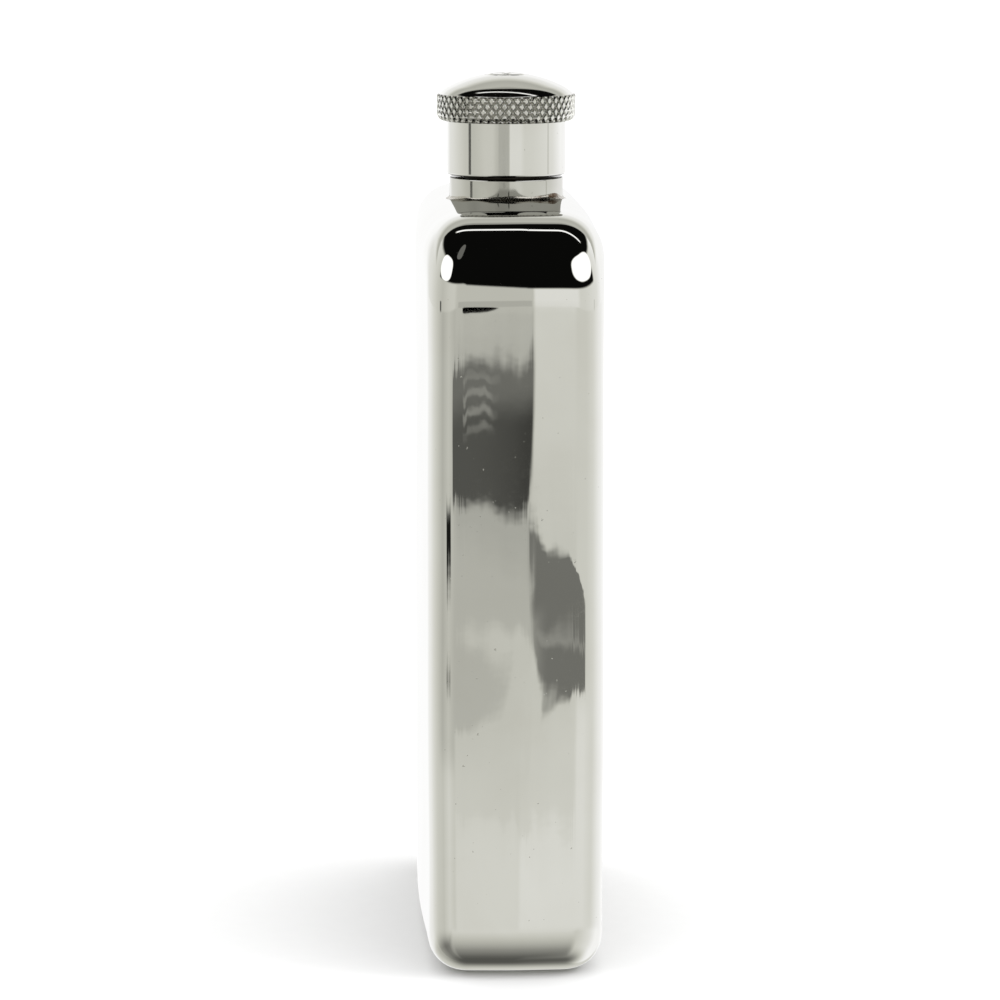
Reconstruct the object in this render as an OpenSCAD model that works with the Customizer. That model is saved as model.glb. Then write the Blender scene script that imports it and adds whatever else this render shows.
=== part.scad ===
// Slim pocket flask: a two-shell soldered body, a threaded spout in a collar,
// and a screw cap with a domed top and a knurled band.
// +Z up, +X along the broad faces, +Y through the thickness, origin under the
// middle of the base. The front shell faces -Y. Millimetres.

/* [Body] */
// Width across the broad faces
body_w = 80; // [62:1:95]
// Thickness at the narrow sides
body_t = 25; // [22:0.5:30]
// Height of the body without the neck
body_h = 111; // [90:1:140]
// How far each broad face swells beyond the narrow sides' thickness
crown = 1.2; // [0.4:0.1:2.5]
// Sheet thickness
wall = 0.7; // [0.5:0.1:1.2]
// Radius of the four upright edges
edge_r = 3.6; // [2.5:0.1:5]
// Radius of the shoulders, seen from the broad side
shoulder_r = 10.5; // [7:0.5:14]
// Radius of the bottom corners, seen from the broad side
heel_r = 6.5; // [4:0.5:9]
// Radius of the long top edges, seen from the narrow side
rim_r = 6.5; // [5:0.5:8]
// Radius of the long bottom edges, seen from the narrow side
foot_r = 5.5; // [4:0.5:7]
// Where the seam lies, off the middle of the thickness
seam_y = 1.6; // [-3:0.1:3]
// Width of the solder line between the shells
seam_w = 0.3; // [0.2:0.05:0.5]

/* [Neck] */
// Outside radius of the spout tube, under its thread
spout_r = 6.4; // [6:0.1:6.8]
// Wall of the spout tube
spout_wall = 1.1; // [0.9:0.1:1.4]
// Outside radius of the collar
collar_r = 8.55; // [8.4:0.05:8.8]
// Height of the collar above the body
collar_h = 2.9; // [2.5:0.1:4]
// Legs of the solder fillet at the collar's foot
fillet = 0.8; // [0.4:0.1:1]

/* [Cap] */
// Outside radius of the cap's skirt
skirt_r = 8.9; // [8.85:0.05:9.2]
// Sheet thickness of the skirt
skirt_wall = 0.8; // [0.6:0.05:0.8]
// Visible height of the skirt
skirt_h = 8; // [7.8:0.1:9]
// Gap between the closed cap and the collar
cap_gap = 0.4; // [0.3:0.05:0.8]
// Outside radius of the knurled band
band_r = 10.4; // [10.2:0.05:10.8]
// Height of the knurled band
band_h = 4; // [3.6:0.1:4.5]
// Radius of the band's lower edge
band_round = 1.2; // [0.5:0.1:1.4]
// Rise of the dome above the band
dome_h = 3.2; // [2.9:0.1:3.6]
// Radius of the dome's rolled edge
dome_edge = 1.4; // [0.8:0.1:1.6]
// Sheet thickness of the dome
dome_wall = 0.7; // [0.5:0.1:0.9]

/* [Thread] */
// Lead of the single-start right-hand thread
pitch = 2.5; // [2.3:0.1:2.7]
// Turns of ridge on the spout
spout_turns = 2; // [1.5:0.1:2]
// Turns of ridge in the cap
cap_turns = 1.6; // [1:0.1:1.6]

/* [Hidden] */

SILVER = [0.80, 0.80, 0.77];
SOLDER = [0.66, 0.65, 0.60];
BRASS = [0.78, 0.63, 0.34];
CORK = [0.67, 0.49, 0.31];

arc_steps = 8;              // straight steps in a quarter turn of an outline
thread_steps = 36;          // straight steps in a turn of thread
film = 0.03;                // solder or fitting film between pieces that nest
far = 200;                  // longer than the flask, for cutting blocks
round_fn = 96;

mid_t = body_t + 2*crown;                               // thickness at the middle
crown_radius = (pow(body_w/2, 2) + pow(crown, 2))/(2*crown);
neck_hole_r = spout_r + film;
collar_top = body_h + collar_h;
skirt_bottom = collar_top + cap_gap;
band_bottom = skirt_bottom + skirt_h;
band_top = band_bottom + band_h;
spout_lip = band_bottom - 0.5;                          // height of the mouth
dome_ledge = 0.2;                                       // how far the dome's edge lies inside the band's
seal_t = 1.6;
seal_gap = 0.04;
backing_z = spout_lip + seal_t + 2*seal_gap;            // top of the skirt and of the sleeve
backing_t = 0.8;
flange_r = 8.4;
flange_t = 0.8;
spout_bottom = body_h - wall - flange_t;
sleeve_r = skirt_r - skirt_wall - film;
bore_r = spout_r + 0.9;                                 // female thread, between ridges
ridge_h = 0.65;
ridge_root_w = 1.6;
ridge_crest_w = 0.8;
ridge_bite = 0.3;                                       // how deep a ridge is rooted in its wall

// Points on an arc about [x, y] from angle a to angle b.
function arc(x, y, r, a, b, steps = arc_steps) =
    [for (i = [0:steps]) let (t = a + (b - a)*i/steps) [x + r*cos(t), y + r*sin(t)]];

// Upright outline: width w, from z = low to z = high, with its own radii at the top and at the bottom.
module upright_outline(w, low, high, r_top, r_bottom) {
    polygon(concat(
        arc(w/2 - r_bottom, low + r_bottom, r_bottom, -90, 0),
        arc(w/2 - r_top, high - r_top, r_top, 0, 90),
        arc(-w/2 + r_top, high - r_top, r_top, 90, 180),
        arc(-w/2 + r_bottom, low + r_bottom, r_bottom, 180, 270)));
}

// Plan outline: straight narrow ends, swelling long sides and rounded corners. The corner's centre lies on the
// radius of the long side's arc that passes through it, so that the two arcs run into each other.
module plan_outline(inset) {
    r = edge_r - inset;
    big = crown_radius - inset;
    low = crown_radius - mid_t/2;                       // the big arc's centre lies this far beyond the middle
    cx = body_w/2 - edge_r;
    tilt = asin(cx/(big - r));
    cy = (big - r)*cos(tilt) - low;
    polygon(concat(
        arc(cx, cy, r, 0, 90 - tilt),
        arc(0, -low, big, 90 - tilt, 90 + tilt, 2*arc_steps),
        arc(-cx, cy, r, 90 + tilt, 180),
        arc(-cx, -cy, r, 180, 270 - tilt),
        arc(0, low, big, 270 - tilt, 270 + tilt, 2*arc_steps),
        arc(cx, -cy, r, 270 + tilt, 360)));
}

// The body's solid shape, drawn in by inset on every side.
module body_shape(inset = 0) {
    intersection() {
        linear_extrude(height = body_h) plan_outline(inset);
        translate([0, mid_t, 0]) rotate([90, 0, 0]) linear_extrude(height = 2*mid_t)
            upright_outline(body_w - 2*inset, inset, body_h - inset, shoulder_r - inset, heel_r - inset);
        translate([-body_w, 0, 0]) rotate([90, 0, 90]) linear_extrude(height = 2*body_w)
            upright_outline(mid_t - 2*inset, inset, body_h - inset, rim_r - inset, foot_r - inset);
    }
}

// The hollow body with its neck hole, before it is parted into shells.
module body_wall() {
    difference() {
        body_shape();
        body_shape(wall);
        translate([0, 0, body_h - 2*wall]) cylinder(r = neck_hole_r, h = 4*wall, $fn = round_fn);
    }
}

module front_shell() {
    color(SILVER) intersection() {
        body_wall();
        translate([-far/2, seam_y - seam_w/2 - far, -far/4]) cube([far, far, far]);
    }
}

module back_shell() {
    color(SILVER) intersection() {
        body_wall();
        translate([-far/2, seam_y + seam_w/2, -far/4]) cube([far, far, far]);
    }
}

module seam_solder() {
    color(SOLDER) intersection() {
        body_wall();
        translate([-far/2, seam_y - seam_w/2, -far/4]) cube([far, seam_w, far]);
    }
}

// A ring between two radii.
module ring(r_in, r_out, low, high) {
    rotate_extrude($fn = round_fn) translate([r_in, low]) square([r_out - r_in, high - low]);
}

// Height of a ridge at step i of n: it runs in and out over a sixth of a turn.
function run_in(i, n) = let (edge = thread_steps/6) min(1, (min(i, n - i) + 1)/edge);

// Helical ridge on the radius r, standing out by ridge_h, outward if side is 1 and inward if it is -1.
// Its first ring is at height low and at the angle start.
module ridge(r, side, low, turns, start) {
    n = round(turns*thread_steps);
    root = r - side*ridge_bite;
    points = [for (i = [0:n]) let (
            a = start + 360*i/thread_steps,
            z = low + pitch*i/thread_steps,
            crest = r + side*ridge_h*run_in(i, n),
            in_w = side > 0 ? ridge_root_w : ridge_crest_w,
            out_w = side > 0 ? ridge_crest_w : ridge_root_w,
            inner = min(root, crest),
            outer = max(root, crest))
        each [for (c = [[inner, -in_w/2], [outer, -out_w/2], [outer, out_w/2], [inner, in_w/2]])
            [c[0]*cos(a), c[0]*sin(a), z + c[1]]]];
    sides = [for (i = [0:n - 1], k = [0:3]) let (p = 4*i + k, q = 4*i + (k + 1)%4)
        each [[p, q, p + 4], [q, q + 4, p + 4]]];
    ends = [[3, 2, 1], [3, 1, 0], [4*n, 4*n + 1, 4*n + 2], [4*n, 4*n + 2, 4*n + 3]];
    polyhedron(points = points, faces = concat(sides, ends), convexity = 8);
}

ridge_low = collar_top + 1.7;               // height at which the spout's ridge starts

// The tube, its flange under the body's top, and its thread.
module spout_tube() {
    color(SILVER) union() {
        ring(spout_r - spout_wall, spout_r, spout_bottom, spout_lip);
        intersection() {
            ring(spout_r - spout_wall/2, flange_r, spout_bottom, spout_bottom + flange_t);
            body_shape(wall);
        }
        ridge(spout_r, 1, ridge_low, spout_turns, 0);
    }
}

// The band that shows between the body and the closed cap, scribed to the shoulder.
module neck_collar() {
    color(SILVER) difference() {
        ring(neck_hole_r, collar_r, body_h - 1, collar_top);
        body_shape();
    }
}

module collar_solder() {
    drop = 1;
    color(SOLDER) difference() {
        rotate_extrude($fn = round_fn) polygon([
            [collar_r + film, body_h - drop],
            [collar_r + film + fillet + drop, body_h - drop],
            [collar_r + film, body_h + fillet]]);
        body_shape();
    }
}

module cap_skirt() {
    color(SILVER) ring(skirt_r - skirt_wall, skirt_r, skirt_bottom, backing_z);
}

// Female thread: its ridge starts half a pitch above the spout's, so that the two stay in mesh.
module thread_sleeve() {
    color(BRASS) union() {
        ring(bore_r, sleeve_r, skirt_bottom + 0.5, backing_z);
        ridge(bore_r, -1, ridge_low + pitch/2, cap_turns, 0);
    }
}

module knurled_band() {
    bore = skirt_r + film;
    color(SILVER) rotate_extrude($fn = round_fn) polygon(concat(
        [[bore, band_bottom]],
        arc(band_r - band_round, band_bottom + band_round, band_round, -90, 0),
        [[band_r, band_top], [bore, band_top]]));
}

// Spun dome with a rolled edge and a turned-down lip that locates it inside the band. The edge's arc, about
// [edge_x, band_top], runs into the dome's, about [0, low], where the line through both centres meets them.
module cap_dome() {
    lip_r = skirt_r - film;
    lip_t = 0.7;
    edge_x = band_r - dome_ledge - dome_edge;
    out_r = (pow(edge_x, 2) + pow(dome_h, 2) - pow(dome_edge, 2))/(2*(dome_h - dome_edge));
    in_r = out_r - dome_wall;
    low = band_top + dome_h - out_r;
    join = atan2(band_top - low, edge_x);
    color(SILVER) rotate_extrude($fn = round_fn) polygon(concat(
        arc(edge_x, band_top, dome_edge, 0, join),
        arc(0, low, out_r, join, 90),
        arc(0, low, in_r, 90, acos((lip_r - lip_t)/in_r)),
        [[lip_r - lip_t, backing_z + backing_t],
         [lip_r, backing_z + backing_t],
         [lip_r, band_top]]));
}

module backing_disc() {
    color(BRASS) translate([0, 0, backing_z])
        cylinder(r = skirt_r - film, h = backing_t, $fn = round_fn);
}

module seal_disc() {
    seal_r = bore_r - 0.15;
    color(CORK) translate([0, 0, spout_lip + seal_gap])
        cylinder(r = seal_r, h = seal_t, $fn = round_fn);
}

front_shell();
back_shell();
seam_solder();
spout_tube();
neck_collar();
collar_solder();
cap_skirt();
thread_sleeve();
knurled_band();
cap_dome();
backing_disc();
seal_disc();
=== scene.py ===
"""Looks of the pocket flask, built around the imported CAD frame.

Shapes are worked out in millimetres in the frame's axes (+Z up, +X along the broad faces, +Y through the
thickness), and piece() turns them into metres. The main sizes come from the CAD nodes' boxes or are named
values below.
"""
import math

import bmesh
import bpy
import numpy as np
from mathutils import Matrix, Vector


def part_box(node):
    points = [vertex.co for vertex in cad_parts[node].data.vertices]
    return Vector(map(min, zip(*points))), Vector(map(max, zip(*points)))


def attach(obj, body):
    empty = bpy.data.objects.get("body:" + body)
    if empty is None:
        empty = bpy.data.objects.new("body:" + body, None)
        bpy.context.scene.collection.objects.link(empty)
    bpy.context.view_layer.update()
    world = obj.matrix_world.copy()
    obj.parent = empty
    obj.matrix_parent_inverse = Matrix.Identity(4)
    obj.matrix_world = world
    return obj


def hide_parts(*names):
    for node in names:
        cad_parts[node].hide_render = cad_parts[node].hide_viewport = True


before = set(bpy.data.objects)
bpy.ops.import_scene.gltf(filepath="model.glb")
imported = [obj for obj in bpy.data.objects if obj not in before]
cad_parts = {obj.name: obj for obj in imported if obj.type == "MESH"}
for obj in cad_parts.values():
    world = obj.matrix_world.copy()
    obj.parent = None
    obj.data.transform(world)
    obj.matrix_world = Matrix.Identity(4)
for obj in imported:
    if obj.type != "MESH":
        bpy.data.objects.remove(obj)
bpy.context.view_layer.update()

MM = 0.001
scene = bpy.context.scene


def cad(node):
    """Lowest and highest corner of a CAD node, in millimetres."""
    low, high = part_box(node)
    return low / MM, high / MM


# ---------------------------------------------------------------- sizes

FRONT_LOW, FRONT_HIGH = cad("front_shell")
BACK_LOW, _ = cad("back_shell")
SPOUT_LOW, SPOUT_HIGH = cad("spout_tube")
_, COLLAR_HIGH = cad("neck_collar")
SKIRT_LOW, SKIRT_HIGH = cad("cap_skirt")
SLEEVE_LOW, SLEEVE_HIGH = cad("thread_sleeve")
BAND_LOW, BAND_HIGH = cad("knurled_band")
DOME_LOW, DOME_HIGH = cad("cap_dome")
DISC_LOW, DISC_HIGH = cad("backing_disc")
SEAL_LOW, SEAL_HIGH = cad("seal_disc")

HALF_WIDTH = FRONT_HIGH.x
HEIGHT = FRONT_HIGH.z
HALF_THICKNESS = -FRONT_LOW.y             # over the crowned broad faces
SEAM_Y = (FRONT_HIGH.y + BACK_LOW.y) / 2
SEAM_HALF = (BACK_LOW.y - FRONT_HIGH.y) / 2
WALL = 0.7                                # sheet thickness
CROWN = 1.2                               # how far a broad face swells beyond the narrow sides
SOFTNESS = 2.35                           # power of a rounded corner's curve: 2 is a plain arc
EDGE_R = 4.7                              # upright edges
RIM_R = 7.6                               # long top edges
FOOT_R = 6.4                              # long bottom edges
SHOULDER_R = 12.6                         # shoulders, seen from the broad side
HEEL_R = 7.8                              # bottom corners, seen from the broad side
DRAFT = 0.030                             # slope of each half's rim where it leaves the seam
BULGE = 0.0024                            # how much steeper that slope grows with each millimetre
SEAM_SOFT = 0.9                           # how softly the two slopes meet
CREST_SHIFT = 2.0                         # low down, they meet this far in front of the seam
SHEET_STEP = 0.95                         # spacing of the body's mesh
HEM = 0.9                                 # the mesh is cut back this far, then drawn to the neck hole

SPOUT_R = 6.4
SPOUT_BORE = 5.3
NECK_HOLE_R = 6.43
COLLAR_R = COLLAR_HIGH.x
SKIRT_R = SKIRT_HIGH.x
SKIRT_WALL = 0.8
BAND_R = BAND_HIGH.x
FIT_GAP = 0.03                            # the band's bore and the dome's lip differ from SKIRT_R by this
SLEEVE_R = SLEEVE_HIGH.x
THREAD_ROOM = 0.9                         # between the spout's wall and the sleeve's
SLEEVE_BORE = SPOUT_R + THREAD_ROOM
PITCH = 2.5                               # the thread's lead, one start, right-handed
RIDGE_H = 0.65
RIDGE_HALF = 0.80                         # half its width at the wall
RIDGE_FLANK = 0.42                        # how much of that is slope
THREAD_STEPS = 144                        # places round a thread's wall
THREAD_CUT = 0.12                         # and up it
RIDGE_LOW = COLLAR_HIGH.z + 1.7           # height at which the spout's ridge starts
SPOUT_TURNS = 2.0
CAP_TURNS = 1.6

KNURL_STARTS = 50                         # grooves in each direction round the band
KNURL_LEAN = 0.78                         # how far a groove moves round for each millimetre of height
KNURL_DEPTH = 0.36
KNURL_SHARPNESS = 2.15                    # 1 has the diamonds end in points; more leaves flats on them
KNURL_FINENESS = 18                       # places round the band for each groove
DOME_R = 19.0                             # the dome's outer curve
DOME_RIM = math.radians(45)               # how steep the dome is at its foot
DOME_BOW = 1.02                           # how far that steepness reaches up
DOME_JOIN = math.radians(64)              # where the steep rim runs into the outer curve
DOME_WALL = 0.7
ORNAMENT_R = 3.1                          # engraved ring on the dome
ORNAMENT_DEPTH = 0.16
ORNAMENT_WIDTH = 0.20


# ---------------------------------------------------------------- mesh helpers

def piece(name, points, faces, body, node, material):
    """Makes a mesh object from millimetre points, smooth with sharp creases, that stands for a CAD node."""
    mesh = bpy.data.meshes.new(name)
    mesh.from_pydata((np.asarray(points, float) * MM).tolist(), [], faces)
    shape = bmesh.new()
    shape.from_mesh(mesh)
    bmesh.ops.remove_doubles(shape, verts=shape.verts, dist=0.001 * MM)
    bmesh.ops.recalc_face_normals(shape, faces=shape.faces)
    shape.to_mesh(mesh)
    shape.free()
    mesh.polygons.foreach_set("use_smooth", [True] * len(mesh.polygons))
    mesh.set_sharp_from_angle(angle=math.radians(50))
    mesh.materials.append(material)
    thing = bpy.data.objects.new(name, mesh)
    scene.collection.objects.link(thing)
    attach(thing, body)
    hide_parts(node)
    return thing


def profile(corners, step=None):
    """Points through (r, z, radius) corners, each rounded by a curve of that radius.

    Where a step is given, no straight is left longer than it.
    """
    points = []
    for i, (r, z, radius) in enumerate(corners):
        here = np.array([r, z])
        if radius == 0:
            points.append(here)
            continue
        before = np.array(corners[i - 1][:2]) - here
        after = np.array(corners[(i + 1) % len(corners)][:2]) - here
        start = here + before / np.linalg.norm(before) * radius
        end = here + after / np.linalg.norm(after) * radius
        points.append(start + (start - here) * 0.15)
        for t in np.linspace(0, 1, 7):
            points.append((1 - t) ** 2 * start + 2 * t * (1 - t) * here + t ** 2 * end)
        points.append(end + (end - here) * 0.15)
    return points if step is None else cut(points, step)


def cut(points, step):
    """The same profile with no straight longer than step."""
    finer = []
    for a, b in zip(points, points[1:]):
        pieces = max(1, math.ceil(np.linalg.norm(b - a) / step))
        finer.extend(a + (b - a) * i / pieces for i in range(pieces))
    finer.append(points[-1])
    return finer


def revolve(points, steps, closed=True, shape=None):
    """Turns a profile about Z.

    shape(r, z, angle) may move each point. An open profile starts and ends on the axis.
    """
    angles = np.arange(steps) * math.tau / steps
    vertices, faces, rings = [], [], []
    for r, z in points:
        if r < 1e-6:
            rings.append([len(vertices)] * steps)
            vertices.append((0.0, 0.0, z))
            continue
        radius, height = np.full(steps, r), np.full(steps, z)
        if shape is not None:
            radius, height = shape(radius, height, angles)
        rings.append(list(range(len(vertices), len(vertices) + steps)))
        vertices.extend(zip(radius * np.cos(angles), radius * np.sin(angles), height))
    pairs = list(zip(rings, rings[1:]))
    if closed:
        pairs.append((rings[-1], rings[0]))
    for low, high in pairs:
        for i in range(steps):
            j = (i + 1) % steps
            corners = [low[i], low[j], high[j], high[i]]
            faces.append(list(dict.fromkeys(corners)))
    return vertices, [f for f in faces if len(f) > 2]


# ---------------------------------------------------------------- the body's surface

def soft_corner(a, b, radius):
    """Distance outside a rounded edge between two faces; a and b are the distances outside each face."""
    over_a = np.maximum(a + radius, 0)
    over_b = np.maximum(b + radius, 0)
    bulge = (over_a ** SOFTNESS + over_b ** SOFTNESS) ** (1 / SOFTNESS)
    return bulge + np.minimum(np.maximum(a + radius, b + radius), 0) - radius


def blend(a, b, share):
    return a + (b - a) * share


def smooth_step(low, high, value):
    t = np.clip((value - low) / (high - low), 0, 1)
    return t * t * (3 - 2 * t)


def rim_waves(along, y):
    """Slight unevenness of a hand-finished rim: it differs between the two halves."""
    front = 0.010 * np.sin(along / 9.0 + 0.6 + y / 9.0) + 0.006 * np.sin(along / 4.6 + 1.9 + y / 5.0)
    back = 0.010 * np.sin(along / 7.4 + 2.5) + 0.006 * np.sin(along / 3.9 + 0.3 - y / 5.0)
    return blend(front, back, smooth_step(-0.8, 0.8, y - SEAM_Y))


def face_waves(x, z):
    """Slight unevenness of a broad face."""
    return 0.05 * np.sin(x / 8.5 + 0.7) * np.sin(z / 11.0 + 0.4) + 0.03 * np.sin(x / 5.1 - z / 6.3)


def body_field(p):
    """Distance of points outside the body's outer surface, negative inside it."""
    x, y, z = p[:, 0], p[:, 1], p[:, 2]
    crest = SEAM_Y - CREST_SHIFT * smooth_step(50, 30, z) + 0.18 * np.sin(z / 7.0) * smooth_step(50, 70, z)
    off = np.sqrt((y - crest) ** 2 + SEAM_SOFT ** 2) - SEAM_SOFT
    slope = DRAFT * off + BULGE * off ** 2
    side = np.abs(x) - HALF_WIDTH + slope + 0.02 - rim_waves(z, y)
    top = z - HEIGHT + DRAFT * 0.4 * off
    bottom = -z
    upper = soft_corner(side, top, SHOULDER_R)
    lower = soft_corner(side, bottom, HEEL_R)
    outline = np.where(z > HEIGHT / 2, upper, lower)
    swell = CROWN * (x / HALF_WIDTH) ** 2
    face = np.abs(y) - HALF_THICKNESS + swell + 0.06 - face_waves(x, z)
    near_top = 0.5 + 0.5 * np.tanh((top - side) / 9.0)
    near_bottom = 0.5 + 0.5 * np.tanh((bottom - side) / 7.0)
    radius = EDGE_R + (RIM_R - EDGE_R) * near_top + (FOOT_R - EDGE_R) * near_bottom
    return soft_corner(outline, face, radius)


def body_slope(p):
    """Gradient of body_field by central differences."""
    reach = 0.02
    columns = []
    for axis in range(3):
        shift = np.zeros(3)
        shift[axis] = reach
        columns.append((body_field(p + shift) - body_field(p - shift)) / (2 * reach))
    return np.stack(columns, axis=1)


def settle(p, held):
    """Moves points onto the body's surface; the held ones keep their y."""
    for _ in range(8):
        slope = body_slope(p)
        slope[held, 1] = 0
        p = p - slope * (body_field(p) / np.maximum((slope ** 2).sum(axis=1), 1e-6))[:, None]
    return p


def top_height(x, y):
    """Height of the body's top surface above (x, y)."""
    p = np.stack([x, y, np.full(len(x), HEIGHT - 0.5)], axis=1)
    for _ in range(12):
        p[:, 2] -= body_field(p) / np.maximum(body_slope(p)[:, 2], 0.2)
    return p[:, 2]


CORE = np.array([9.0, 6.5, 9.0])          # the start shape's corner sizes along x, y and z
BOX_LOW = np.array([-HALF_WIDTH, -HALF_THICKNESS, 0.0])
BOX_HIGH = np.array([HALF_WIDTH, HALF_THICKNESS, HEIGHT])


def stations(low, high, corner, step, turns=13):
    """Places from low to high along one axis, closer together where the corner turns at either end."""
    bend = corner * np.tan(np.linspace(0, math.pi / 4, turns))
    flat = np.linspace(low + corner, high - corner, math.ceil((high - low - 2 * corner) / step))
    return np.concatenate([low + corner - bend[:0:-1], flat, high - corner + bend[1:]])


def rounded_start(p):
    """A point on the box becomes a point on a roughly rounded box."""
    core = np.clip(p, BOX_LOW + CORE, BOX_HIGH - CORE)
    off = (p - core) / CORE
    size = np.linalg.norm(off, axis=1)[:, None]
    return core + off / np.maximum(size, 1e-9) * CORE


def tray(xs, ys, zs):
    """Quads over a box's far y face and its four rims, open at ys[0]."""
    index, points, faces = {}, [], []

    def at(i, j, k):
        key = (i, j, k)
        if key not in index:
            index[key] = len(points)
            points.append((xs[i], ys[j], zs[k]))
        return index[key]

    last_x, last_y, last_z = len(xs) - 1, len(ys) - 1, len(zs) - 1
    for i in range(last_x):
        for k in range(last_z):
            faces.append([at(i, last_y, k), at(i + 1, last_y, k),
                          at(i + 1, last_y, k + 1), at(i, last_y, k + 1)])
    for j in range(last_y):
        for i in range(last_x):
            for k in (0, last_z):
                faces.append([at(i, j, k), at(i + 1, j, k), at(i + 1, j + 1, k), at(i, j + 1, k)])
        for k in range(last_z):
            for i in (0, last_x):
                faces.append([at(i, j, k), at(i, j, k + 1), at(i, j + 1, k + 1), at(i, j + 1, k)])
    return np.array(points), faces


def open_neck(points, faces, seam_plane, held):
    """Takes out the faces over the neck and draws the edge of the hole to its circle."""
    reach = np.hypot(points[:, 0], points[:, 1])
    gone = (reach < NECK_HOLE_R + HEM) & (points[:, 2] > HEIGHT / 2)
    kept = [f for f in faces if not gone[f].any()]
    lost = [f for f in faces if gone[f].any()]
    hem = sorted({v for f in lost for v in f} & {v for f in kept for v in f})
    on_seam = held[hem]
    x, y = points[hem, 0], points[hem, 1]
    scale = NECK_HOLE_R / reach[hem]
    new_x = np.where(on_seam, np.sign(x) * math.sqrt(NECK_HOLE_R ** 2 - seam_plane ** 2), x * scale)
    new_y = np.where(on_seam, y, y * scale)
    points[hem, 0], points[hem, 1] = new_x, new_y
    points[hem, 2] = top_height(new_x, new_y)
    return points, kept


def thicken(points, faces, thickness):
    """Closes an open sheet into a solid one: an inner copy, and strips along the open edges."""
    slope = body_slope(points)
    inner = points - slope / np.linalg.norm(slope, axis=1)[:, None] * thickness
    count = len(points)
    uses = {}
    for f in faces:
        for a, b in zip(f, f[1:] + f[:1]):
            edge = (min(a, b), max(a, b))
            uses[edge] = uses.get(edge, 0) + 1
    strips = [[a, b, b + count, a + count] for (a, b), times in uses.items() if times == 1]
    lining = [[v + count for v in f] for f in faces]
    return np.concatenate([points, inner]), faces + lining + strips


def shell(name, node, seam_plane, outer_face, material):
    """One pressed half of the body, from its seam plane to its broad face."""
    xs = stations(-HALF_WIDTH, HALF_WIDTH, CORE[0], SHEET_STEP)
    zs = stations(0, HEIGHT, CORE[2], SHEET_STEP)
    side = math.copysign(1, outer_face)
    bend_start = side * (abs(outer_face) - CORE[1])
    near_seam = seam_plane + side * np.array([0, 0.15, 0.35, 0.6, 0.95, 1.4, 2.0])
    flat = np.linspace(near_seam[-1], bend_start, 7)[1:]
    bend = bend_start + side * CORE[1] * np.tan(np.linspace(0, math.pi / 4, 10))[1:]
    ys = np.concatenate([near_seam, flat, bend])
    points, faces = tray(xs, ys, zs)
    held = np.abs(points[:, 1] - seam_plane) < 1e-6
    points = settle(rounded_start(points), held)
    points, faces = open_neck(points, faces, seam_plane, held)
    used = sorted({v for f in faces for v in f})
    renumber = {v: i for i, v in enumerate(used)}
    faces = [[renumber[v] for v in f] for f in faces]
    points, faces = thicken(points[used], faces, WALL)
    return piece(name, points, faces, "flask", node, material)


def seam_line(material):
    """The polished solder line between the shells: a thin bar all round, open where the neck stands."""
    xs = stations(-HALF_WIDTH, HALF_WIDTH, CORE[0], SHEET_STEP)
    zs = stations(0, HEIGHT, CORE[2], SHEET_STEP)
    start = math.sqrt(NECK_HOLE_R ** 2 - SEAM_Y ** 2)
    right = [(x, HEIGHT) for x in xs if x > start + HEM]
    down = [(HALF_WIDTH, z) for z in zs[::-1][1:]]
    under = [(x, 0.0) for x in xs[::-1][1:]]
    up = [(-HALF_WIDTH, z) for z in zs[1:]]
    left = [(x, HEIGHT) for x in xs if x < -start - HEM]
    route = np.array([(start, HEIGHT)] + right + down + under + up + left[1:] + [(-start, HEIGHT)])
    rings = []
    for y in (SEAM_Y - SEAM_HALF, SEAM_Y, SEAM_Y + SEAM_HALF):
        points = np.stack([route[:, 0], np.full(len(route), y), route[:, 1]], axis=1)
        rings.append(settle(rounded_start(points), np.ones(len(points), bool)))
    normal = body_slope(rings[1]) * [1, 0, 1]
    normal /= np.linalg.norm(normal, axis=1)[:, None]
    rings += [rings[2] - normal * WALL, rings[0] - normal * WALL]
    points = np.stack(rings, axis=1).reshape(-1, 3)
    sides = len(rings)
    faces = []
    for i in range(len(route) - 1):
        for k in range(sides):
            a, b = i * sides + k, i * sides + (k + 1) % sides
            faces.append([a, b, b + sides, a + sides])
    faces.append(list(range(sides)))
    faces.append(list(range(len(points) - sides, len(points))))
    return piece("seam_line", points, faces, "flask", "seam_solder", material)


# ---------------------------------------------------------------- neck

def ridge(angle, z, low, turns):
    """How far a helical ridge stands out at each place, from 0 to RIDGE_H."""
    height = np.zeros_like(z)
    for turn in range(math.ceil(turns) + 1):
        run = angle / math.tau + turn
        away = np.abs(z - (low + PITCH * run))
        form = smooth_step(RIDGE_HALF, RIDGE_HALF - RIDGE_FLANK, away)
        fade = smooth_step(-0.02, 0.15, run) * smooth_step(-0.02, 0.15, turns - run)
        height = np.maximum(height, RIDGE_H * form * fade * (run >= 0) * (run <= turns))
    return height


def threaded(wall_r, outward, low, turns):
    """A shape for revolve() that raises a thread on the wall of that radius."""
    def shape(r, z, angle):
        on_wall = np.abs(r - wall_r) < 1e-6
        return r + np.where(on_wall, outward * ridge(angle, z, low, turns), 0), z
    return shape


def spout(material):
    flange_r, flange_t = 8.4, 0.8
    low, high = SPOUT_LOW.z, SPOUT_HIGH.z
    wall = profile([
        (SPOUT_BORE, low, 0.2), (flange_r, low, 0.2), (flange_r, low + flange_t, 0.2),
        (SPOUT_R, low + flange_t, 0.3), (SPOUT_R, high, 0.5), (SPOUT_BORE, high, 0.5)], step=THREAD_CUT)
    points, faces = revolve(wall, THREAD_STEPS, shape=threaded(SPOUT_R, 1, RIDGE_LOW, SPOUT_TURNS))
    return piece("spout_threaded", points, faces, "flask", "spout_tube", material)


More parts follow.
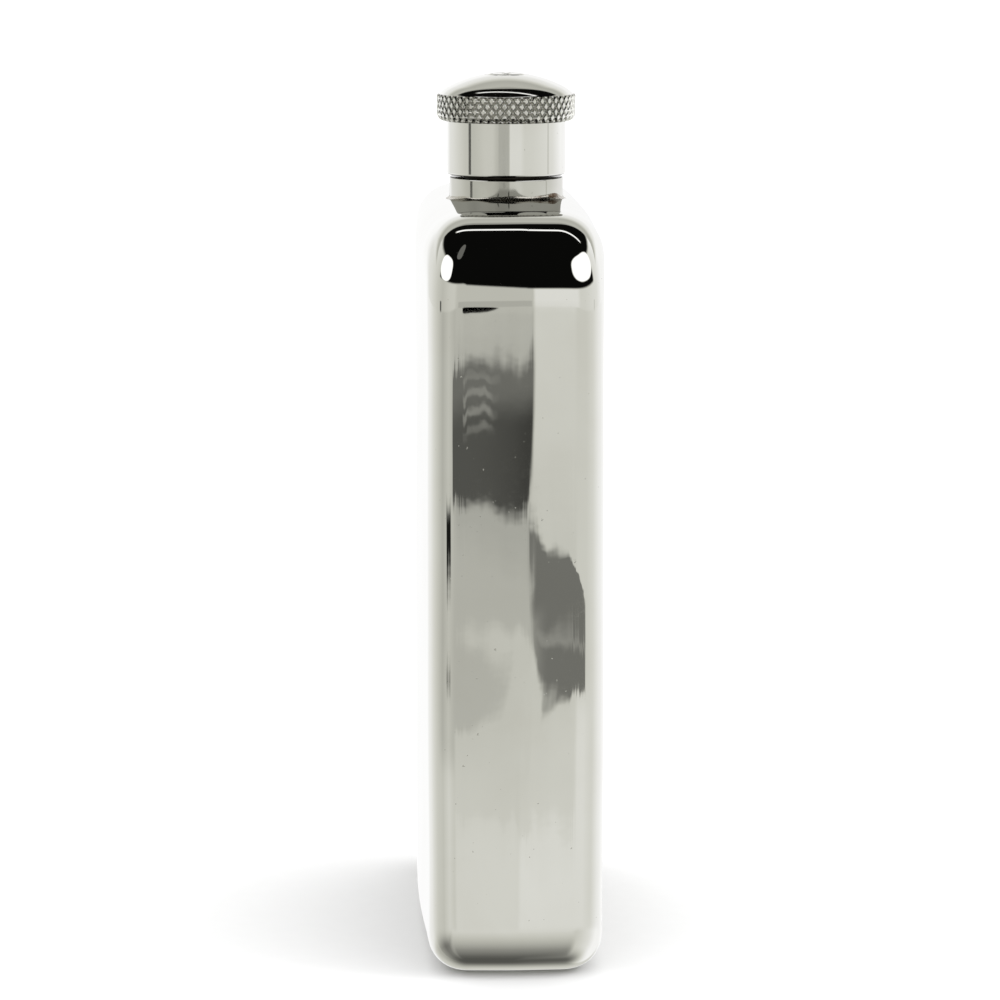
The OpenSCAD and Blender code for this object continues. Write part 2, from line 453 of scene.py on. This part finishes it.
def collar(material):
    """The plain band round the neck, scribed to the top of the body."""
    high = COLLAR_HIGH.z

    def scribed(r, z, angle):
        foot = top_height(r * np.cos(angle), r * np.sin(angle)) - 0.03
        return r, np.where(z < HEIGHT, foot, z)

    wall = profile([
        (NECK_HOLE_R, HEIGHT - 1, 0), (COLLAR_R, HEIGHT - 1, 0),
        (COLLAR_R, high, 0.22), (NECK_HOLE_R, high, 0.15)])
    points, faces = revolve(cut(wall, 0.4), 160, shape=scribed)
    return piece("collar_band", points, faces, "flask", "neck_collar", material)


def fillet_size(angle):
    """How wide the collar's solder fillet is round the neck: it was laid by hand."""
    lumps = 0.10 * np.sin(3 * angle + 0.8) + 0.07 * np.sin(7 * angle + 2.1) + 0.05 * np.sin(13 * angle)
    blob = 0.42 * np.exp(-((angle - 0.95) / 0.22) ** 2) + 0.12 * np.exp(-((angle - 2.9) / 0.16) ** 2)
    return 0.42 + lumps + blob


def collar_fillet(material):
    """Concave bead of solder between the collar and the top of the body."""
    steps, across = 256, 9
    angle = np.arange(steps) * math.tau / steps
    size = fillet_size(angle)
    inner = COLLAR_R + 0.01
    foot = top_height(inner * np.cos(angle), inner * np.sin(angle))
    rows = []
    for t in np.linspace(0, 1, across):
        out = inner + size * 1.05 * t ** 1.6
        base = top_height(out * np.cos(angle), out * np.sin(angle))
        rise = size * (1 - t) ** 1.9 + 0.02 * np.sin(17 * angle + 6 * t) * t * (1 - t)
        rows.append((out, base + rise + 0.01 * (1 - t)))
    rows.append((rows[-1][0], rows[-1][1] - 0.15))
    rows.append((inner, foot - 0.15))
    points = [np.stack([r * np.cos(angle), r * np.sin(angle), z], axis=1) for r, z in rows]
    faces = []
    for k in range(len(rows)):
        for i in range(steps):
            j, m = (i + 1) % steps, (k + 1) % len(rows)
            faces.append([k * steps + i, k * steps + j, m * steps + j, m * steps + i])
    return piece("collar_fillet", np.concatenate(points), faces, "flask", "collar_solder", material)


# ---------------------------------------------------------------- cap

def skirt(material):
    inner = SKIRT_R - SKIRT_WALL
    wall = profile([
        (inner, SKIRT_LOW.z, 0.12), (SKIRT_R, SKIRT_LOW.z, 0.32), (SKIRT_R, SKIRT_HIGH.z, 0.1),
        (inner, SKIRT_HIGH.z, 0.1)])
    points, faces = revolve(wall, 192)
    return piece("skirt_turned", points, faces, "cap", "cap_skirt", material)


def sleeve(material):
    wall = profile([
        (SLEEVE_BORE, SLEEVE_LOW.z, 0.2), (SLEEVE_R, SLEEVE_LOW.z, 0.12), (SLEEVE_R, SLEEVE_HIGH.z, 0.1),
        (SLEEVE_BORE, SLEEVE_HIGH.z, 0.1)])
    wall = cut(wall + [wall[0]], THREAD_CUT)[:-1]
    shape = threaded(SLEEVE_BORE, -1, RIDGE_LOW + PITCH / 2, CAP_TURNS)
    points, faces = revolve(wall, THREAD_STEPS, shape=shape)
    return piece("sleeve_threaded", points, faces, "cap", "thread_sleeve", material)


def knurl(r, z, angle):
    """Cuts two crossing sets of slanted grooves into the band's outside."""
    lean = KNURL_LEAN * z / (math.tau * BAND_R / KNURL_STARTS)
    turn = angle * KNURL_STARTS / math.tau
    groove = np.zeros_like(angle)
    for phase in (turn + lean, turn - lean):
        across = np.abs(phase % 1 - 0.5) * 2
        groove = np.maximum(groove, np.clip(1 - KNURL_SHARPNESS * across, 0, 1))
    outside = smooth_step(BAND_R - 1.3, BAND_R - 0.7, r)
    return r - KNURL_DEPTH * groove * outside, z


def knurled_band(material):
    bore, low, high = SKIRT_R + FIT_GAP, BAND_LOW.z, BAND_HIGH.z
    round_r = 1.15
    outside = [np.array([BAND_R - round_r + round_r * math.sin(a), low + round_r - round_r * math.cos(a)])
               for a in np.linspace(0, math.pi / 2, 12)]
    outside.append(np.array([BAND_R, high - 0.2]))
    outside.append(np.array([BAND_R - 0.06, high - 0.06]))
    outside.append(np.array([BAND_R - 0.2, high]))
    wall = cut([np.array([bore, low])] + outside + [np.array([bore, high])], 0.075)
    points, faces = revolve(wall, KNURL_STARTS * KNURL_FINENESS, shape=knurl)
    thing = piece("band_knurled", points, faces, "cap", "knurled_band", material)
    thing.data.set_sharp_from_angle(angle=math.radians(28))
    return thing


def engrave(r, z, angle):
    """A generic ornament on the dome: a ring round a four-petalled rosette."""
    ring = np.abs(r - ORNAMENT_R)
    petals = np.abs(r - ORNAMENT_R * 0.72 * np.abs(np.cos(2 * angle)))
    cut_in = np.exp(-(ring / ORNAMENT_WIDTH) ** 2)
    cut_in = np.maximum(cut_in, np.exp(-(petals / ORNAMENT_WIDTH) ** 2) * (r > 0.25))
    on_top = z > DOME_HIGH.z - 1.2
    return r, z - np.where(on_top & (r < ORNAMENT_R + 1), ORNAMENT_DEPTH * cut_in, 0)


def dome(material):
    """Spun dome: a bright bead and a steep rim at its foot, and a lip turned down inside the band."""
    base, centre = BAND_HIGH.z, DOME_HIGH.z - DOME_R
    in_r = DOME_R - DOME_WALL
    lip_r = SKIRT_R - FIT_GAP
    lip_bore = lip_r - DOME_WALL
    inner_end = math.acos(lip_bore / in_r)
    foot, bead = np.array([BAND_R - 0.25, base]), np.array([BAND_R - 0.37, base + 0.084])

    def on_dome(r, a):
        return np.array([r * math.cos(a), centre + r * math.sin(a)])

    shoulder = on_dome(DOME_R, DOME_JOIN)
    bow = bead + DOME_BOW * np.array([-math.sin(DOME_RIM), math.cos(DOME_RIM)])
    steep = [(1 - u) ** 2 * bead + 2 * u * (1 - u) * bow + u ** 2 * shoulder for u in np.linspace(0, 1, 24)]
    outside = [foot] + steep + [on_dome(DOME_R, a) for a in np.linspace(DOME_JOIN, math.pi / 2, 120)[1:]]
    inside = [on_dome(in_r, a) for a in np.linspace(math.pi / 2, inner_end, 14)]
    outside[-1][0] = inside[0][0] = 0
    lip = profile([(lip_bore, DOME_LOW.z, 0.15), (lip_r, DOME_LOW.z, 0.15)])
    section = outside[::-1] + [np.array([lip_r, base])] + lip[::-1] + inside[::-1]
    points, faces = revolve(section, 256, closed=False, shape=engrave)
    return piece("dome_spun", points, faces, "cap", "cap_dome", material)


def backing_disc(material):
    r, low, high = DISC_HIGH.x, DISC_LOW.z, DISC_HIGH.z
    edge = profile([(0, low, 0), (r, low, 0.12), (r, high, 0.12), (0, high, 0)])
    points, faces = revolve(cut(edge, 1.0), 128, closed=False)
    return piece("disc_backing", points, faces, "cap", "backing_disc", material)


def liner(material):
    """The cork liner, pressed slightly hollow where it meets the spout's lip."""
    r, low, high = SEAL_HIGH.x, SEAL_LOW.z, SEAL_HIGH.z
    edge = cut(profile([(0, low, 0), (r, low, 0.18), (r, high, 0.18), (0, high, 0)]), 0.25)

    def pressed(radius, z, angle):
        seat = (SPOUT_R + SPOUT_BORE) / 2
        dent = 0.05 * np.exp(-((radius - seat) / 0.5) ** 2) * (z < (low + high) / 2)
        ragged = 0.03 * np.sin(9 * angle + 1) + 0.02 * np.sin(23 * angle)
        return radius - (ragged + 0.05) * (radius > r - 0.3), z + dent

    points, faces = revolve(edge, 128, closed=False, shape=pressed)
    return piece("liner_cork", points, faces, "seal", "seal_disc", material)


# ---------------------------------------------------------------- materials and light, as node graphs

class Graph:
    """Writes shader nodes as calls: every method returns an output socket."""

    def __init__(self, tree):
        self.tree = tree

    def node(self, kind, inputs=(), **settings):
        made = self.tree.nodes.new(kind)
        for key, value in settings.items():
            setattr(made, key, value)
        for key, value in dict(inputs).items():
            if isinstance(value, bpy.types.NodeSocket):
                self.tree.links.new(value, made.inputs[key])
            else:
                made.inputs[key].default_value = value
        return made

    def math(self, operation, a, b=0.0):
        return self.node("ShaderNodeMath", {0: a, 1: b}, operation=operation).outputs[0]

    def lerp(self, a, b, share):
        return self.node("ShaderNodeMix", {"Factor": share, "A": a, "B": b}, data_type="FLOAT").outputs[0]

    def tint(self, a, b, share):
        made = self.node("ShaderNodeMix", {"Factor": share}, data_type="RGBA")
        for socket, value in ((made.inputs[6], a), (made.inputs[7], b)):
            if isinstance(value, bpy.types.NodeSocket):
                self.tree.links.new(value, socket)
            else:
                socket.default_value = (*value, 1)
        return made.outputs[2]

    def step(self, value, low, high, start=0.0, end=1.0):
        """Rises smoothly from start to end as value goes from low to high."""
        inputs = {"Value": value, "From Min": low, "From Max": high, "To Min": start, "To Max": end}
        return self.node("ShaderNodeMapRange", inputs, interpolation_type="SMOOTHSTEP").outputs[0]

    def within(self, value, low, high, soft):
        """1 between low and high, 0 outside, with soft edges."""
        rise = self.step(value, low - soft, low + soft)
        fall = self.step(value, high - soft, high + soft, 1.0, 0.0)
        return self.math("MULTIPLY", rise, fall)

    def ramp(self, value, stops):
        """Passes through (value, tone) stops, straight between them and level beyond."""
        low, high = stops[0][0], stops[-1][0]
        made = self.node("ShaderNodeValToRGB", {0: self.node(
            "ShaderNodeMapRange", {"Value": value, "From Min": low, "From Max": high}).outputs[0]})
        places = made.color_ramp.elements
        while len(places) < len(stops):
            places.new(0.5)
        for place, (at, tone) in zip(places, stops):
            place.position = (at - low) / (high - low)
            place.color = (tone, tone, tone, 1)
        return made.outputs[0]

    def disc(self, a, b, centre, reach):
        """1 inside an ellipse around centre, 0 outside, with a soft edge."""
        across = self.math("DIVIDE", self.math("SUBTRACT", a, centre[0]), reach[0])
        up = self.math("DIVIDE", self.math("SUBTRACT", b, centre[1]), reach[1])
        size = self.math("ADD", self.math("POWER", self.math("ABSOLUTE", across), 2.6),
                         self.math("POWER", self.math("ABSOLUTE", up), 2.6))
        return self.step(size, 1.12, 0.88)

    def invert(self, mask):
        return self.math("SUBTRACT", 1.0, mask)

    def outside(self, value, low, high, soft):
        """0 between low and high, 1 outside, with soft edges."""
        return self.invert(self.within(value, low, high, soft))

    def both(self, *masks):
        total = masks[0]
        for mask in masks[1:]:
            total = self.math("MULTIPLY", total, mask)
        return total

    def place(self, stretch=(1, 1, 1)):
        """Where a point is on the object, in metres, stretched along the axes."""
        where = self.node("ShaderNodeTexCoord").outputs["Object"]
        return self.node("ShaderNodeMapping", {"Vector": where, "Scale": stretch}).outputs[0]

    def noise(self, where, scale, detail=2.0, distortion=0.0):
        inputs = {"Vector": where, "Scale": scale, "Detail": detail, "Distortion": distortion}
        return self.node("ShaderNodeTexNoise", inputs).outputs["Fac"]

    def bump(self, height, distance, normal=None):
        inputs = {"Height": height, "Distance": distance, "Strength": 1.0}
        if normal is not None:
            inputs["Normal"] = normal
        return self.node("ShaderNodeBump", inputs).outputs[0]


def new_material(name, metallic):
    material = bpy.data.materials.new(name)
    material.use_nodes = True
    shader = material.node_tree.nodes["Principled BSDF"]
    shader.inputs["Metallic"].default_value = metallic
    return material, Graph(material.node_tree), shader


def connect(graph, shader, **sockets):
    for name, value in sockets.items():
        graph.tree.links.new(value, shader.inputs[name.replace("_", " ")])


def silver(name, bright, dull, smooth, rough, grain, gap_shade=(), nicks=()):
    """Polished silver plate: faint clouds of tarnish, a few freckles and a hand-buffed unevenness.

    The seventh argument holds (lowest, highest) heights in millimetres between which the colour is painted
    near black, as painted shade in the gap between the cap's skirt and the collar, and nicks the (y, lowest,
    highest, lean) of dark upright nicks.
    """
    material, graph, shader = new_material(name, 1.0)
    where = graph.place()
    clouds = graph.noise(where, 70, 4, 0.6)
    freckles = graph.step(graph.noise(where, 1500, 2), 0.74, 0.80)
    wear = graph.step(graph.noise(where, 420, 5, 1.5), 0.55, 0.80)
    colour = graph.tint(bright, dull, graph.step(clouds, 0.35, 0.75))
    colour = graph.tint(colour, (0.42, 0.40, 0.35), graph.math("MULTIPLY", freckles, 0.5))
    across, height = (graph.math("DIVIDE", part, MM)
                      for part in graph.node("ShaderNodeSeparateXYZ", {0: where}).outputs[1:])
    for low, high in gap_shade:
        # painted shade: a near-black band where the gap between the cap's skirt and the collar lies in shade
        colour = graph.tint(colour, (0.035, 0.03, 0.025), graph.within(height, low, high, 0.06))
    for at, low, high, lean in nicks:
        line = graph.math("ADD", across, graph.math("MULTIPLY", graph.math("SUBTRACT", height, low), lean))
        nick = graph.both(graph.within(line, at - 0.07, at + 0.07, 0.06),
                          graph.within(height, low, high, 0.25))
        colour = graph.tint(colour, (0.05, 0.05, 0.04), nick)
    roughness = graph.step(clouds, 0.3, 0.75, smooth, rough)
    roughness = graph.math("ADD", roughness, graph.math("MULTIPLY", wear, 0.02))
    buffed = graph.bump(graph.noise(where, 260, 2), grain)
    pitted = graph.bump(graph.invert(freckles), grain * 2, buffed)
    connect(graph, shader, Base_Color=colour, Roughness=roughness, Normal=pitted)
    return material


def solder(name):
    """Duller, lumpy solder with brown flux stains on the side towards the back shell."""
    material, graph, shader = new_material(name, 1.0)
    where = graph.place()
    parts = graph.node("ShaderNodeSeparateXYZ", {0: where}).outputs
    clouds = graph.noise(where, 800, 5, 1.0)
    heap = graph.both(graph.step(parts[0], 0.001, 0.006), graph.step(parts[1], 0.002, 0.007),
                      graph.step(parts[2], 0.100, 0.108))
    stain = graph.math("MULTIPLY", heap, graph.step(clouds, 0.38, 0.62))
    metal = graph.tint((0.70, 0.68, 0.62), (0.52, 0.49, 0.43), clouds)
    colour = graph.tint(metal, (0.10, 0.055, 0.025), stain)
    roughness = graph.step(clouds, 0.2, 0.8, 0.12, 0.34)
    normal = graph.bump(clouds, 0.00006)
    connect(graph, shader, Base_Color=colour, Roughness=roughness, Normal=normal)
    return material


def brass(name):
    material, graph, shader = new_material(name, 1.0)
    where = graph.place()
    clouds = graph.noise(where, 500, 4)
    turned = graph.noise(graph.place((200, 200, 9000)), 1, 2)
    colour = graph.tint((0.80, 0.60, 0.28), (0.46, 0.30, 0.13), graph.step(clouds, 0.4, 0.8))
    roughness = graph.step(clouds, 0.2, 0.8, 0.22, 0.42)
    connect(graph, shader, Base_Color=colour, Roughness=roughness, Normal=graph.bump(turned, 0.00001))
    return material


def cork(name):
    material, graph, shader = new_material(name, 0.0)
    where = graph.place()
    grain = graph.noise(where, 1400, 6, 0.8)
    pits = graph.node("ShaderNodeTexVoronoi", {"Vector": where, "Scale": 900}).outputs["Distance"]
    holes = graph.step(pits, 0.10, 0.24)
    light = graph.tint((0.62, 0.42, 0.24), (0.40, 0.24, 0.12), graph.step(grain, 0.35, 0.65))
    colour = graph.tint((0.15, 0.08, 0.04), light, holes)
    relief = graph.bump(holes, 0.00008, graph.bump(grain, 0.00006))
    roughness = graph.step(grain, 0.2, 0.8, 0.7, 0.92)
    connect(graph, shader, Base_Color=colour, Roughness=roughness, Normal=relief)
    return material


def paper_floor(name):
    material, graph, shader = new_material(name, 0.0)
    fibres = graph.noise(graph.place(), 300, 4)
    colour = graph.tint((0.90, 0.90, 0.90), (0.88, 0.88, 0.88), fibres)
    connect(graph, shader, Base_Color=colour, Normal=graph.bump(fibres, 0.00004))
    shader.inputs["Roughness"].default_value = 0.9
    return material


# ---------------------------------------------------------------- studio

WINDOW_TONE = 1.15
SLIT_TONE = 1.1                           # of the slit of light past the zenith
PANEL_TONE = 0.13
DARK_TONE = 0.003                         # of the dark room
TABLE_EDGE = (-5.15, -4.85)               # the tilts between which the table ends


class Bearings:
    """Where a mirrored ray points, in degrees.

    turn is the bearing from +X towards +Y, and tilt the height above the horizon. over is the angle up from
    the +X horizon, through the zenith, to the -X horizon, and lean is the angle towards +Y. The wavy ones
    are uneven, and backwards is 1 on the back shell's side and 0 on the front shell's.
    """

    def __init__(self, graph):
        where = graph.node("ShaderNodeTexCoord").outputs["Generated"]
        x, y, z = graph.node("ShaderNodeSeparateXYZ", {0: where}).outputs

        def degrees(value):
            return graph.math("MULTIPLY", value, 180 / math.pi)

        self.turn = degrees(graph.math("ARCTAN2", y, x))
        self.tilt = degrees(graph.math("ARCSINE", z))
        self.over = degrees(graph.math("ARCTAN2", z, x))
        self.lean = degrees(graph.math("ARCSINE", y))
        uneven = graph.math("SUBTRACT", graph.noise(where, 22, 3), 0.5)
        self.wavy_tilt = graph.math("ADD", self.tilt, graph.math("MULTIPLY", uneven, 0.8))
        self.wavy_turn = graph.math("ADD", self.turn, graph.math("MULTIPLY", uneven, 8.0))
        self.backwards = graph.step(self.turn, 3.6, 5.6)


def table_tone(graph, to):
    """The table, straight in front: darker before the front shell's side than before the back shell's."""
    front = graph.ramp(to.wavy_tilt, (
        (-16, 0.68), (-13.4, 0.67), (-12.95, 0.65), (-12.8, 0.61), (-10.7, 0.56), (-10.45, 0.46),
        (-9.7, 0.46), (-9, 0.41), (-6.7, 0.42), (-5.9, 0.50), (-2, 0.53)))
    back = graph.ramp(to.wavy_tilt, (
        (-16, 0.71), (-13.5, 0.73), (-13.15, 0.71), (-12.95, 0.64), (-11.5, 0.58), (-9, 0.57),
        (-8.3, 0.62), (-6, 0.64), (-4.5, 0.72), (-2, 0.75)))
    return graph.lerp(front, back, to.backwards)


def side_tone(graph, to):
    """What lies to both sides of the table."""
    tone = graph.ramp(to.turn, (
        (-165, 1.0), (-150, 0.90), (-133, 0.86), (-97, 0.63), (-67, 0.45), (-44, 0.55),
        (-25, 0.47), (15, 0.61), (52, 0.62), (79, 0.69), (111, 0.86), (150, 1.0)))
    lift = graph.step(to.tilt, -11, -13, 0.0, 0.12)
    return graph.math("ADD", tone, graph.both(lift, graph.within(to.turn, -80, 60, 20)))


def near_tone(graph, to):
    """The table's near half, dim under the camera and on the front shell's side."""
    ahead = graph.ramp(to.tilt, ((-80, 0.09), (-70, 0.13), (-52, 0.27), (-38, 0.44), (-17, 0.68)))
    beside = graph.ramp(to.turn, (
        (-150, 0.95), (-125, 0.70), (-108, 0.32), (-77, 0.17), (-60, 0.20),
        (-45, 0.38), (-30, 0.55), (25, 0.60), (80, 0.78), (113, 0.97)))
    deep = graph.step(to.tilt, -17, -33, 1.05, 0.66)
    deep = graph.lerp(deep, 1.0, graph.within(to.turn, -118, 150, 8))
    share = graph.both(graph.outside(to.turn, -44, 24, 10), graph.step(to.tilt, -88, -40))
    return graph.lerp(ahead, graph.math("MULTIPLY", beside, deep), share)


def things_on_the_table(graph, to, tone):
    """Adds a dim streaked patch on one side, a slanted dim one on the other, and a black rod."""
    patch = graph.both(graph.within(to.wavy_turn, -31, 12, 2), graph.within(to.wavy_tilt, -8.75, -6.55, 0.16),
                       graph.invert(to.backwards))
    bands = graph.math("SINE", graph.math("MULTIPLY", to.wavy_tilt, 22.0))
    streaks = graph.both(graph.step(bands, -0.9, 1.2), graph.within(to.tilt, -7.6, -6.7, 0.25),
                         graph.within(to.wavy_turn, -7, -3.2, 1.2))
    shade = graph.lerp(graph.step(to.tilt, -7.6, -6.9, 0.085, 0.15),
                       graph.step(to.tilt, -7.6, -6.9, 0.05, 0.15), graph.step(to.turn, -6, 2))
    tone = graph.lerp(tone, graph.lerp(shade, 0.24, streaks), patch)

    slant = graph.ramp(to.tilt, ((-9.9, 1.0), (-9.5, 0.42), (-9.2, 0.2), (-8.95, 0.13)))
    slant = graph.math("MULTIPLY", slant, 48.0)
    cut_off = graph.step(to.tilt, -10.4, -11.9, 3.4, 8.6)
    leaf = graph.both(graph.step(graph.math("SUBTRACT", slant, to.wavy_turn), -1.5, 1.5), to.backwards,
                      graph.step(graph.math("SUBTRACT", to.wavy_turn, cut_off), -1.0, 1.0),
                      graph.within(to.wavy_tilt, -11.85, -8.95, 0.12))
    glint = graph.within(to.wavy_tilt, -10.6, -10.35, 0.15)
    fringe = graph.both(graph.step(to.tilt, -9.9, -10.3), graph.step(to.turn, 7.5, 5.0))
    tone = graph.lerp(tone, graph.lerp(0.165, 0.27, graph.math("MAXIMUM", glint, fringe)), leaf)

    rod = graph.both(graph.within(to.turn, -52, -37, 1.5), graph.within(to.wavy_tilt, -9.75, -8.9, 0.25))
    return graph.lerp(tone, 0.01, rod)


def above_the_edge(graph, to, tone, table):
    """Adds the strip just above the table's edge, with posts in it and a black dash on the edge."""
    strip = graph.ramp(to.turn, (
        (-159, 1.0), (-143, 0.80), (-128, 0.76), (-105, 0.66), (-90, 0.58), (-70, 0.52),
        (-45, 0.60), (50, 0.66), (99, 0.76), (129, 0.97)))
    strip = graph.lerp(strip, table, graph.within(to.turn, -24, 30, 6))
    level = graph.within(to.tilt, -5.3, -2.5, 0.4)
    strip = graph.lerp(strip, 0.10, graph.both(graph.within(to.turn, -80.5, -74.5, 0.7), level))
    strip = graph.lerp(strip, 0.50, graph.both(graph.within(to.turn, 86, 88.5, 0.5), level))
    strip = graph.lerp(strip, 0.43, graph.both(graph.within(to.turn, -17, 3.2, 0.6), level))
    tone = graph.lerp(tone, strip, graph.step(to.tilt, *TABLE_EDGE))
    return graph.lerp(tone, 0.0, graph.disc(to.turn, to.tilt, (-6.1, -5.38), (3.0, 0.42)))


def dark_room(graph, to, tone):
    """Adds the dark room in front and overhead, and past the zenith a light wall behind."""
    wall = graph.ramp(to.over, (
        (124, 0.30), (128, 0.50), (139, 0.44), (143, 0.60), (148, 0.78), (157, 0.88), (166, 1.05)))
    aside = graph.math("MULTIPLY", graph.math("ABSOLUTE", to.lean), 0.2)
    behind = graph.step(graph.math("SUBTRACT", to.over, aside), 120.5, 123.5)
    behind = graph.math("MAXIMUM", behind, graph.step(to.over, -100, -120))
    sill = graph.step(to.turn, -10, 1, 13.5, 8.0)
    above = graph.step(graph.math("SUBTRACT", to.tilt, sill), -1.2, 1.2)
    beside = graph.both(graph.outside(to.turn, -86, 88, 3), graph.step(to.tilt, 42, 36))
    tone = graph.lerp(tone, wall, graph.both(behind, graph.step(to.tilt, 14, 24)))
    return graph.lerp(tone, DARK_TONE, graph.both(graph.invert(behind), above, graph.invert(beside)))


def windows(graph, to, tone):
    """Adds a window to the left and one to the right, a grey panel, and a slit of light past the zenith."""
    left = graph.disc(to.turn, to.tilt, (-66, 29), (23, 15.5))
    right = graph.disc(to.turn, to.tilt, (54, 31.5), (36, 18))
    tone = graph.lerp(tone, WINDOW_TONE, graph.math("MAXIMUM", left, right))
    tone = graph.lerp(tone, PANEL_TONE, graph.disc(to.turn, to.tilt, (-30, 60), (10, 13)))
    middle = graph.math("SUBTRACT", 106.5, graph.math("MULTIPLY", to.lean, 0.28))
    away = graph.math("ABSOLUTE", graph.math("SUBTRACT", to.over, middle))
    slit = graph.both(graph.step(away, 2.4, 1.2), graph.within(to.lean, -19, 34, 2))
    return graph.lerp(tone, SLIT_TONE, slit)


def studio_tone(graph):
    """Brightness of the studio that the metal mirrors, by direction."""
    to = Bearings(graph)
    table = table_tone(graph, to)
    tone = graph.lerp(table, side_tone(graph, to), graph.outside(to.turn, -24, 20, 6))
    fade = graph.step(to.turn, -35, -60, -19.5, -42)
    tone = graph.lerp(near_tone(graph, to), tone, graph.step(to.tilt, fade, -13.8))
    tone = things_on_the_table(graph, to, tone)
    tone = above_the_edge(graph, to, tone, table)
    tone = dark_room(graph, to, tone)
    return windows(graph, to, tone)


ROOM_LIGHT = 1.47                         # of the plain white room, which lights the floor
ECHO = 0.5                                # how bright the studio is in metal mirrored by other metal
ECHO_MOST = 0.6                           # and no tone is taken as brighter than this before that
ECHO_DEPTH = 2.5                          # a ray's first bounce reaches the world at depth 2, its second at 3


def light_the_studio():
    """The metal mirrors the studio, dimmer at a second bounce; the camera and the floor see plain white."""
    world = bpy.data.worlds.new("studio")
    world.use_nodes = True
    world.node_tree.nodes.clear()
    world.cycles.sampling_method = "NONE"
    scene.world = world
    graph = Graph(world.node_tree)
    path = graph.node("ShaderNodeLightPath").outputs
    tone = studio_tone(graph)
    echo = graph.math("GREATER_THAN", path["Ray Depth"], ECHO_DEPTH)
    dimmed = graph.math("MULTIPLY", graph.math("MINIMUM", tone, ECHO_MOST), ECHO)
    tone = graph.lerp(tone, dimmed, echo)
    cast = graph.tint((1.0, 1.0, 0.91), (1.0, 1.0, 1.0), graph.step(tone, 0.5, 1.0))
    colour = graph.node("ShaderNodeVectorMath", {0: cast, 1: tone}, operation="MULTIPLY").outputs[0]
    mirrored = graph.node("ShaderNodeBackground", {"Color": colour})
    plain = graph.node("ShaderNodeBackground", {"Color": (1, 1, 1, 1), "Strength": ROOM_LIGHT})
    shaders = {0: path["Is Glossy Ray"], 1: plain.outputs[0], 2: mirrored.outputs[0]}
    mix = graph.node("ShaderNodeMixShader", shaders)
    graph.node("ShaderNodeOutputWorld", {0: mix.outputs[0]})


def lay_the_floor():
    """A wide pale disc under the flask. The metal doesn't mirror it: the studio's tones stand in for it."""
    mesh = bpy.data.meshes.new("floor")
    shape = bmesh.new()
    bmesh.ops.create_circle(shape, cap_ends=True, segments=96, radius=3.0)
    shape.to_mesh(mesh)
    shape.free()
    mesh.materials.append(paper_floor("paper"))
    floor = bpy.data.objects.new("floor", mesh)
    scene.collection.objects.link(floor)
    floor.visible_glossy = False


def hang_the_lamp():
    """One large soft lamp, high on the +Y side, which casts the faint shadow on the floor."""
    data = bpy.data.lights.new("soft_lamp", "AREA")
    data.shape = "DISK"
    data.size = 0.7
    data.energy = 4.0
    lamp = bpy.data.objects.new("soft_lamp", data)
    lamp.location = (0.25, 0.95, 0.75)
    aim = Vector((0, 0, 0.05)) - lamp.location
    lamp.rotation_euler = aim.to_track_quat("-Z", "Y").to_euler()
    lamp.visible_glossy = False
    scene.collection.objects.link(lamp)


CAMERA_DISTANCE = 615.0                   # from the near narrow side
CAMERA_Y = -26.2
CAMERA_HEIGHT = 164.0
CAMERA_YAW = 2.21                         # degrees, towards +Y
CAMERA_PITCH = 8.62                       # degrees, downwards
LENS = 156.9


def place_the_camera():
    data = bpy.data.cameras.new("camera")
    data.lens = LENS
    data.sensor_width = 36.0
    data.clip_start = 0.01
    data.clip_end = 50.0
    camera = bpy.data.objects.new("camera", data)
    camera.location = Vector((HALF_WIDTH + CAMERA_DISTANCE, CAMERA_Y, CAMERA_HEIGHT)) * MM
    yaw, pitch = math.radians(CAMERA_YAW), math.radians(CAMERA_PITCH)
    ahead = Vector((-math.cos(pitch) * math.cos(yaw), math.cos(pitch) * math.sin(yaw), -math.sin(pitch)))
    camera.rotation_euler = ahead.to_track_quat("-Z", "Y").to_euler()
    scene.collection.objects.link(camera)
    bpy.context.scene.camera = camera


# ---------------------------------------------------------------- assembly

BRIGHT_SILVER = (0.93, 0.93, 0.905)
DULL_SILVER = (0.90, 0.895, 0.865)

body_silver = silver("body_silver", BRIGHT_SILVER, DULL_SILVER, 0.0, 0.03, 0.0000015)
# cap_silver, collar_silver and spout_silver get near-black painted shade in the gap between the cap's skirt
# and the collar
cap_silver = silver("cap_silver", BRIGHT_SILVER, DULL_SILVER, 0.03, 0.07, 0.000002,
                    gap_shade=((COLLAR_HIGH.z, SKIRT_LOW.z + 0.14),))
collar_silver = silver("collar_silver", (0.80, 0.80, 0.765), (0.66, 0.65, 0.61), 0.04, 0.10, 0.000003,
                       gap_shade=((COLLAR_HIGH.z - 0.08, SKIRT_LOW.z),),
                       nicks=((-1.75, HEIGHT - 0.2, HEIGHT + 0.9, -0.25),
                              (0.05, HEIGHT - 0.2, HEIGHT + 1.2, 0)))
knurl_silver = silver("knurl_silver", (0.92, 0.92, 0.89), (0.80, 0.79, 0.75), 0.05, 0.12, 0.000002)
spout_silver = silver("spout_silver", (0.86, 0.85, 0.81), (0.70, 0.68, 0.62), 0.10, 0.22, 0.000004,
                      gap_shade=((COLLAR_HIGH.z - 2, SKIRT_LOW.z + 0.5),))
solder_metal = solder("solder_metal")
bare_brass = brass("bare_brass")
cork_liner = cork("cork_liner")

shell("front_shell_sheet", "front_shell", SEAM_Y - SEAM_HALF, -HALF_THICKNESS, body_silver)
shell("back_shell_sheet", "back_shell", SEAM_Y + SEAM_HALF, HALF_THICKNESS, body_silver)
seam_line(body_silver)
spout(spout_silver)
collar(collar_silver)
collar_fillet(solder_metal)
skirt(cap_silver)
sleeve(bare_brass)
knurled_band(knurl_silver)
dome(cap_silver)
backing_disc(bare_brass)
liner(cork_liner)

place_the_camera()
light_the_studio()
lay_the_floor()
hang_the_lamp()

scene.view_settings.view_transform = "Standard"
scene.view_settings.look = "None"
